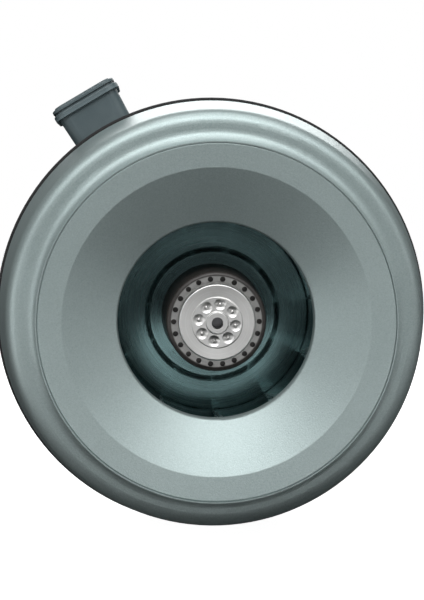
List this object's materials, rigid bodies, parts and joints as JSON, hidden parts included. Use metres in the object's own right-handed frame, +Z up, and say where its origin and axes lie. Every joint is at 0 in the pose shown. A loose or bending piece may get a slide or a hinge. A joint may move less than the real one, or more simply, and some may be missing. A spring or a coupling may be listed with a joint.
{
  "type": "inline duct fan",
  "caption": "Round inline duct fan in a pressed steel casing, with an external-rotor motor, a backward-curved impeller behind an inlet cone, and a terminal box.",
  "frame": {"origin": "centre of the inlet spigot's open end, on the duct axis", "axes": "+Y along the air flow from inlet to outlet, +Z up, +X to the right as seen from the inlet"},
  "size_m": [0.4092, 0.24, 0.4296],
  "materials": {
    "casing_steel": "silver-grey enamel on pressed steel, fine metallic grain",
    "band_rubber": "black, matt",
    "impeller_steel": "galvanised sheet, spun",
    "fastener_steel": "zinc plated",
    "rotor_paint": "black motor paint, satin",
    "machined_aluminium": "turned, satin",
    "cast_aluminium": "die cast",
    "core_steel": "laminated electrical steel",
    "copper_wire": "enamelled winding wire, varnished",
    "bearing_steel": "ground and polished",
    "brass": "brass",
    "black_plastic": "black nylon",
    "lead_sheath": "grey-black cable sheath",
    "wire_sleeve": "coloured wire sleeves",
    "box_plastic": "slate grey moulded plastic, fine spark texture",
    "block_plastic": "natural nylon",
    "capacitor_plastic": "pale plastic can",
    "gland_plastic": "grey nylon"
  },
  "bodies": {
    "casing": {"bearing_cap": "black_plastic", "box_foot_screws": "fastener_steel", "box_gasket": "band_rubber", "box_grommet": "band_rubber", "capacitor_saddle": "black_plastic", "earth_screw": "brass", "front_bearing_outer_ring": "bearing_steel", "front_bearing_shields": "bearing_steel", "gland_body": "gland_plastic", "gland_dome_nut": "gland_plastic", "gland_locknut": "gland_plastic", "gland_seal": "band_rubber", "guide_vanes": "casing_steel", "inlet_casing_half": "casing_steel", "inlet_cone": "casing_steel", "lead_bush": "band_rubber", "lead_clips": "black_plastic", "lead_wires": "wire_sleeve", "motor_lead": "lead_sheath", "motor_support_plate": "casing_steel", "outlet_casing_half": "casing_steel", "preload_washer": "fastener_steel", "rear_bearing_outer_ring": "bearing_steel", "rear_bearing_shields": "bearing_steel", "seam_band": "band_rubber", "start_capacitor": "capacitor_plastic", "stator_core": "core_steel", "stator_flange": "cast_aluminium", "stator_windings": "copper_wire", "support_screws": "fastener_steel", "terminal_block": "block_plastic", "terminal_box_base": "box_plastic", "terminal_screws": "brass", "vane_rivets": "fastener_steel"},
    "impeller": {"impeller_backplate": "impeller_steel", "impeller_shroud": "impeller_steel", "impeller_blades": "impeller_steel", "impeller_rivets": "impeller_steel", "rotor_can": "rotor_paint", "rotor_end_plate": "machined_aluminium", "hub_rivets": "fastener_steel", "rotor_core": "core_steel", "rotor_cage_rings": "machined_aluminium", "rotor_shaft": "bearing_steel", "shaft_circlip": "fastener_steel", "front_bearing_inner_ring": "bearing_steel", "rear_bearing_inner_ring": "bearing_steel"},
    "front_ball_set": {"front_bearing_balls": "bearing_steel", "front_bearing_cage": "brass"},
    "rear_ball_set": {"rear_bearing_balls": "bearing_steel", "rear_bearing_cage": "brass"},
    "box_lid": {"terminal_box_lid": "box_plastic", "lid_screws": "fastener_steel"}
  },
  "joints": [
    {"name": "impeller_spin", "type": "hinge", "parent": "casing", "child": "impeller", "pos_m": [0, 0, 0], "axis": [0, 1, 0], "continuous": true},
    {"name": "front_balls_roll", "type": "hinge", "parent": "casing", "child": "front_ball_set", "pos_m": [0, 0, 0], "axis": [0, 1, 0], "continuous": true},
    {"name": "rear_balls_roll", "type": "hinge", "parent": "casing", "child": "rear_ball_set", "pos_m": [0, 0, 0], "axis": [0, 1, 0], "continuous": true},
    {"name": "lid_lift", "type": "slide", "parent": "casing", "child": "box_lid", "axis": [-0.509, 0, 0.8607], "range_m": [0, 0.06]}
  ],
  "couplings": [
    {"joint": "front_balls_roll", "follows": "impeller_spin", "ratio": 0.3636},
    {"joint": "rear_balls_roll", "follows": "impeller_spin", "ratio": 0.3636}
  ]
}
